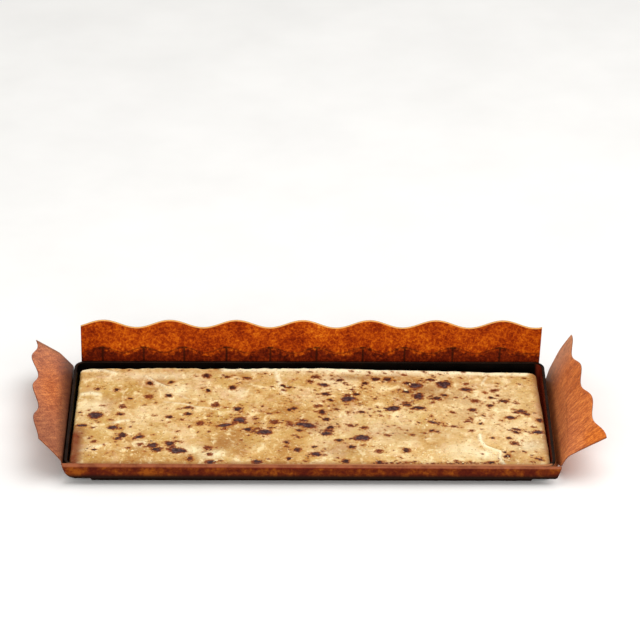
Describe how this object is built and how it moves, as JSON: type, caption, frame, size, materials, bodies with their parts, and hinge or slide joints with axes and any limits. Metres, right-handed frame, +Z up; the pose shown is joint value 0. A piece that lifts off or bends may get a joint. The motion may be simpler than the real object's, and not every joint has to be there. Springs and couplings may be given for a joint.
{
  "type": "nougat block in a lined tray",
  "caption": "Flat slab of almond nougat with dark spice flecks, lying in a low dark plastic tray on a marbled paper liner whose scalloped flaps stand open.",
  "frame": {"origin": "centre of the tray, on the flat underside of the paper liner", "axes": "+X along the slab to the right, +Y across it to the side with the upright flap, +Z up"},
  "size_m": [0.2771, 0.1069, 0.0318],
  "materials": {
    "nougat_paste": "matte, slightly oily paste with dark flecks",
    "tray_plastic": "glossy, nearly black brown",
    "liner_paper": "satin, marbled orange-brown"
  },
  "bodies": {
    "root": {"nougat": "nougat_paste", "tray": "tray_plastic", "liner": "liner_paper"}
  },
  "joints": []
}
